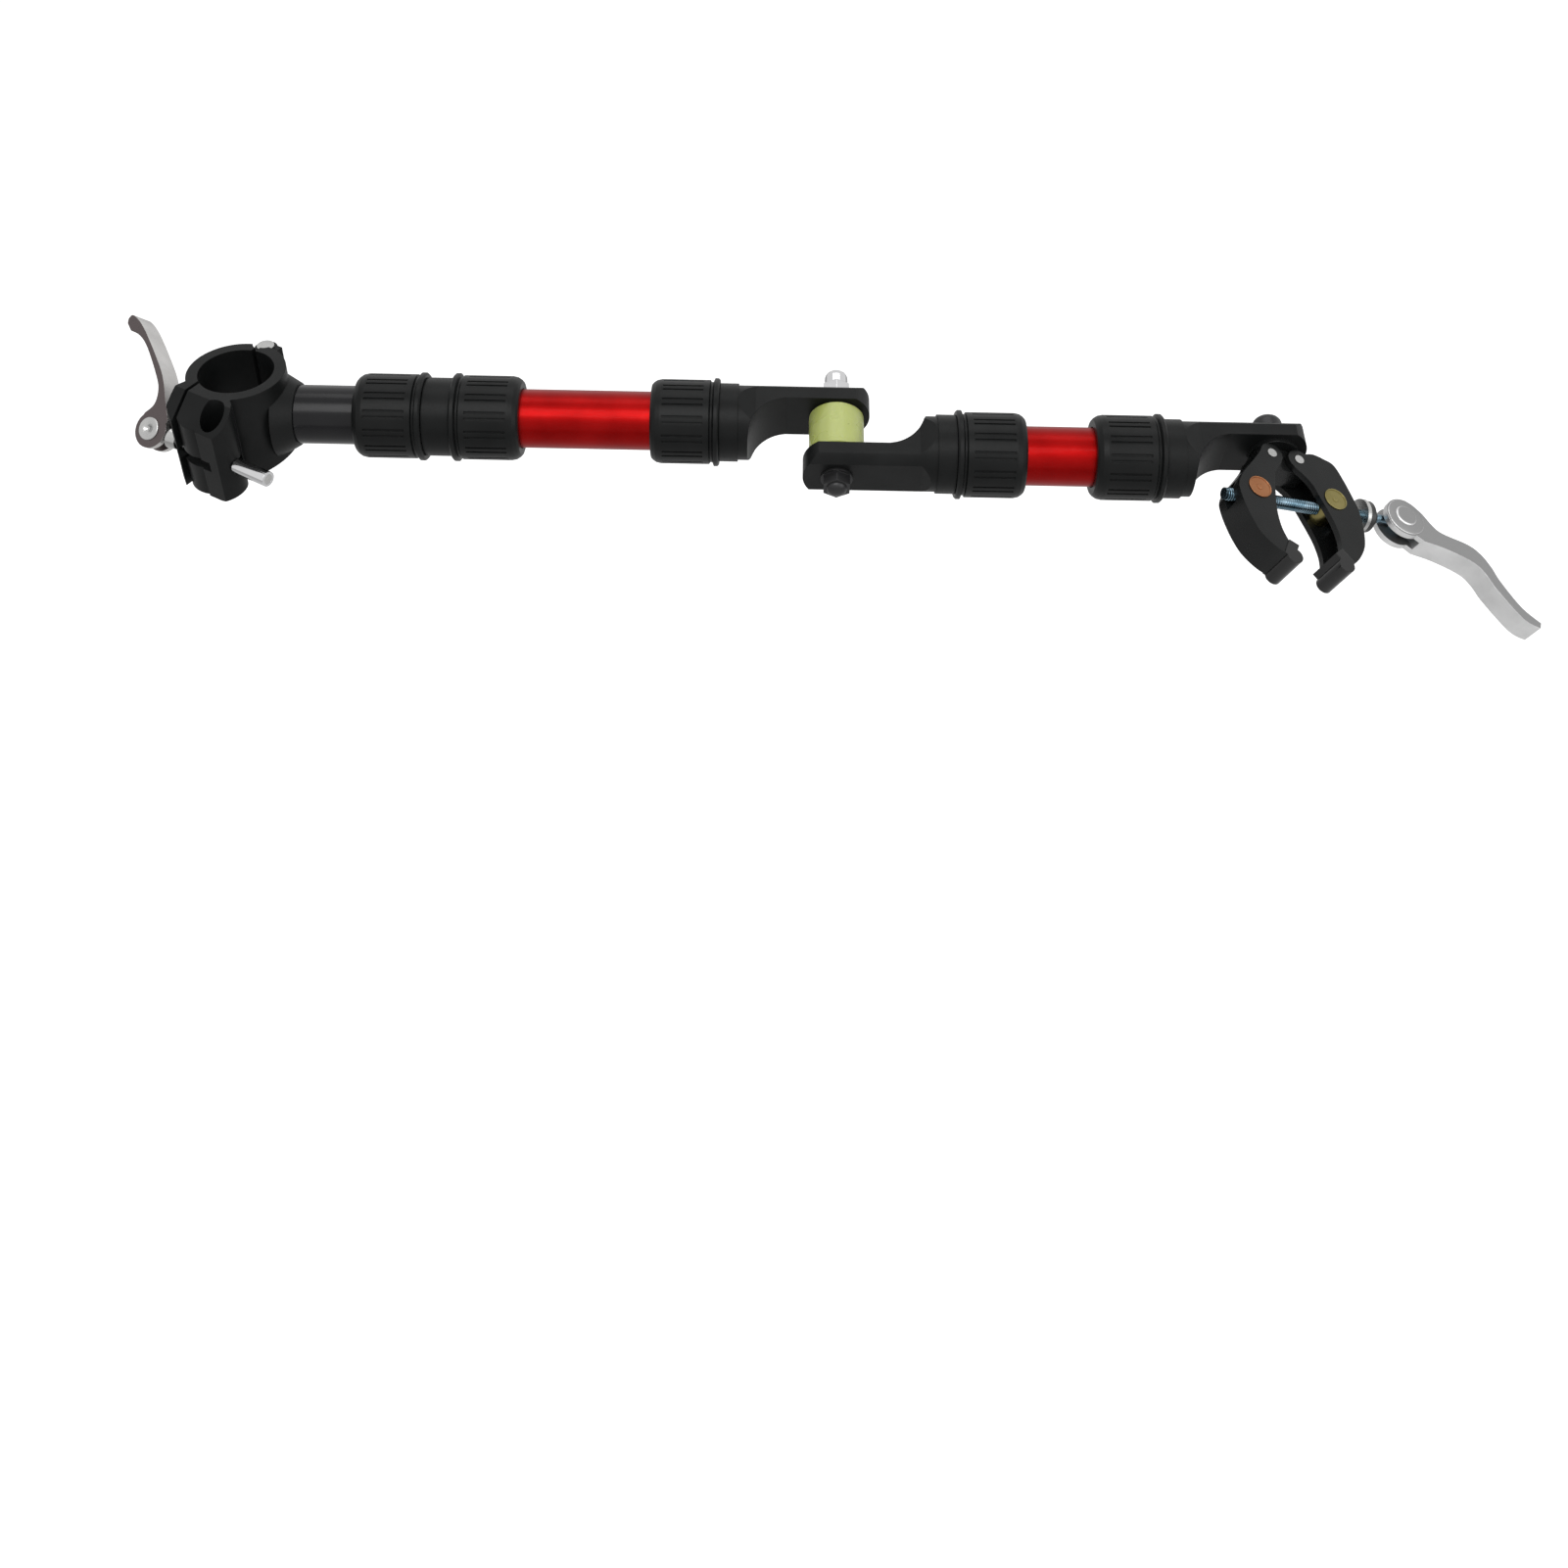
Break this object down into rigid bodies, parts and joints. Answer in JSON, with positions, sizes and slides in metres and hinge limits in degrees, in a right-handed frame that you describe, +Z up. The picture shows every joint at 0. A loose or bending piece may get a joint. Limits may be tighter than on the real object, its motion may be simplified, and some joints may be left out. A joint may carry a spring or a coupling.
{
  "type": "trailer hitch adapter",
  "caption": "Bicycle tow bar with a hinged quick-release seatpost clamp, twist-lock tubes, a cushioned mid hinge and a swivelling two-jaw handle clamp with a cam lever.",
  "frame": {"origin": "centre of the seatpost bore, on its axis and half way up the clamp ring", "axes": "+X along the bar from the seatpost clamp to the handle clamp, +Z up the seatpost bore axis, +Y to the rear of the bar as seen in the picture"},
  "size_m": [0.7177, 0.1324, 0.1043],
  "materials": {
    "black_cast": "black powder coated casting",
    "collar_plastic": "moulded, slightly glossy",
    "collet_plastic": "moulded",
    "black_tube": "gloss black",
    "red_tube": "anodised look, gloss red",
    "jaw_black": "black satin casting",
    "pad_black": "black, slightly glossy",
    "steel_bright": "zinc plated steel",
    "cap_chrome": "polished",
    "black_hardware": "black oxide",
    "zinc_blue": "zinc plated thread",
    "cushion": "translucent yellow-green elastomer",
    "copper_pin": "copper coloured",
    "brass_pin": "yellow brass",
    "bushing_black": "moulded",
    "small_lever_cast": "dark satin casting",
    "large_lever_cast": "satin casting"
  },
  "bodies": {
    "seat_clamp": {"clamp_body": "black_cast", "hinge_pin": "steel_bright", "black_tube": "black_tube"},
    "gate": {"clamp_gate": "black_cast", "grip_screw": "steel_bright"},
    "skewer": {"skewer_rod": "steel_bright", "skewer_barrel": "steel_bright", "skewer_nut": "steel_bright", "small_lever_pin": "steel_bright"},
    "saddle": {"skewer_saddle": "steel_bright"},
    "small_lever": {"small_lever": "small_lever_cast"},
    "coupler": {"coupler": "black_cast", "collet_1": "collet_plastic", "collet_2": "collet_plastic"},
    "collar_1": {"twist_collar_1": "collar_plastic"},
    "collar_2": {"twist_collar_2": "collar_plastic"},
    "collar_3": {"twist_collar_3": "collar_plastic"},
    "collar_4": {"twist_collar_4": "collar_plastic"},
    "collar_5": {"twist_collar_5": "collar_plastic"},
    "red_tube_1": {"red_tube_1": "red_tube"},
    "red_tube_2": {"red_tube_2": "red_tube"},
    "upper_arm": {"upper_arm": "black_cast", "collet_3": "collet_plastic", "joint_bolt": "steel_bright", "joint_cushion": "cushion", "joint_washer": "steel_bright", "joint_cap_nut": "cap_chrome", "joint_lock_nut": "black_hardware"},
    "lower_arm": {"lower_arm": "black_cast", "collet_4": "collet_plastic"},
    "end_arm": {"end_arm": "black_cast", "collet_5": "collet_plastic"},
    "swivel": {"swivel_bolt": "black_hardware", "swivel_washer": "steel_bright", "swivel_block": "jaw_black", "jaw_pin_1": "steel_bright", "jaw_pin_2": "steel_bright"},
    "jaw_1": {"jaw_1": "jaw_black", "jaw_pad_1": "pad_black"},
    "jaw_2": {"jaw_2": "jaw_black", "jaw_pad_2": "pad_black"},
    "trunnion_1": {"trunnion_1": "copper_pin"},
    "trunnion_2": {"trunnion_2": "brass_pin"},
    "clamp_screw": {"clamp_screw": "zinc_blue", "thrust_washer": "steel_bright", "cone_bushing": "bushing_black", "large_lever_pin": "steel_bright"},
    "large_lever": {"large_lever": "large_lever_cast"}
  },
  "joints": [
    {"name": "gate_open", "type": "hinge", "parent": "seat_clamp", "child": "gate", "pos_m": [0.00817, 0.0257, 0], "axis": [0, 0, -1], "range_deg": [0, 1.6]},
    {"name": "skewer_swing", "type": "hinge", "parent": "seat_clamp", "child": "skewer", "pos_m": [-0.00422, -0.03091, 0], "axis": [0, 0, 1], "range_deg": [0, 37]},
    {"name": "small_lever_turn", "type": "hinge", "parent": "skewer", "child": "small_lever", "pos_m": [-0.04342, -0.00882, -0.006], "axis": [-0.3471, -0.616, 0.7071], "range_deg": [0, 150]},
    {"name": "saddle_slide", "type": "slide", "parent": "skewer", "child": "saddle", "axis": [-0.8712, 0.4909, 0], "range_m": [0, 0.0016]},
    {"name": "coupler_roll", "type": "hinge", "parent": "seat_clamp", "child": "coupler", "pos_m": [0.09, 0, 0], "axis": [1, 0, 0], "continuous": true},
    {"name": "collar_1_twist", "type": "hinge", "parent": "coupler", "child": "collar_1", "pos_m": [0.076, 0, 0], "axis": [-1, 0, 0], "range_deg": [0, 120]},
    {"name": "collar_2_twist", "type": "hinge", "parent": "coupler", "child": "collar_2", "pos_m": [0.125, 0, 0], "axis": [1, 0, 0], "range_deg": [0, 120]},
    {"name": "tube_1_slide", "type": "slide", "parent": "coupler", "child": "red_tube_1", "axis": [1, 0, 0], "range_m": [-0.01, 0.012]},
    {"name": "arm_1_slide", "type": "slide", "parent": "red_tube_1", "child": "upper_arm", "axis": [1, 0, 0], "range_m": [-0.008, 0.01]},
    {"name": "collar_3_twist", "type": "hinge", "parent": "upper_arm", "child": "collar_3", "pos_m": [0.225, 0, 0], "axis": [-1, 0, 0], "range_deg": [0, 120]},
    {"name": "middle_hinge", "type": "hinge", "parent": "upper_arm", "child": "lower_arm", "pos_m": [0.302, 0, 0], "axis": [0, 0.9681, 0.2504], "range_deg": [-105, 105]},
    {"name": "collar_4_twist", "type": "hinge", "parent": "lower_arm", "child": "collar_4", "pos_m": [0.379, -0.01723, -0.00446], "axis": [1, 0, 0], "range_deg": [0, 120]},
    {"name": "tube_2_slide", "type": "slide", "parent": "lower_arm", "child": "red_tube_2", "axis": [1, 0, 0], "range_m": [-0.008, 0.01]},
    {"name": "end_arm_roll", "type": "hinge", "parent": "red_tube_2", "child": "end_arm", "pos_m": [0.452, -0.01723, -0.00446], "axis": [1, 0, 0], "continuous": true},
    {"name": "collar_5_twist", "type": "hinge", "parent": "end_arm", "child": "collar_5", "pos_m": [0.447, -0.01723, -0.00446], "axis": [-1, 0, 0], "range_deg": [0, 120]},
    {"name": "swivel", "type": "hinge", "parent": "end_arm", "child": "swivel", "pos_m": [0.5225, -0.01723, -0.00446], "axis": [0, 0.9681, 0.2504], "range_deg": [-140, 110]},
    {"name": "jaw_open", "type": "hinge", "parent": "swivel", "child": "jaw_1", "pos_m": [0.51513, -0.02174, -0.003], "axis": [-0.3256, 0.2367, -0.9154], "range_deg": [-7, 15]},
    {"name": "jaw_2_open", "type": "hinge", "parent": "swivel", "child": "jaw_2", "pos_m": [0.52987, -0.02047, -0.00792], "axis": [-0.3256, 0.2367, -0.9154], "range_deg": [-15.5, 7.5]},
    {"name": "trunnion_1_turn", "type": "hinge", "parent": "jaw_1", "child": "trunnion_1", "pos_m": [0.50463, -0.04569, -0.00546], "axis": [-0.3256, 0.2367, -0.9154], "range_deg": [-16.5, 8]},
    {"name": "trunnion_2_turn", "type": "hinge", "parent": "jaw_2", "child": "trunnion_2", "pos_m": [0.54584, -0.03857, -0.01827], "axis": [-0.3256, 0.2367, -0.9154], "range_deg": [-8, 16]},
    {"name": "screw_turn", "type": "hinge", "parent": "trunnion_2", "child": "clamp_screw", "pos_m": [0.54584, -0.03857, -0.01827], "axis": [0.9422, 0.1628, -0.293], "continuous": true},
    {"name": "large_lever_turn", "type": "hinge", "parent": "clamp_screw", "child": "large_lever", "pos_m": [0.58754, -0.03136, -0.03124], "axis": [0.3256, -0.2367, 0.9154], "range_deg": [-80, 45]}
  ],
  "couplings": [
    {"joint": "gate_open", "follows": "small_lever_turn", "ratio": 0.0105},
    {"joint": "saddle_slide", "follows": "small_lever_turn", "m_per_rad": 0.0006},
    {"joint": "jaw_2_open", "follows": "jaw_open", "ratio": -1},
    {"joint": "trunnion_1_turn", "follows": "jaw_open", "ratio": -1.0414},
    {"joint": "trunnion_2_turn", "follows": "jaw_open", "ratio": 0.9586}
  ]
}
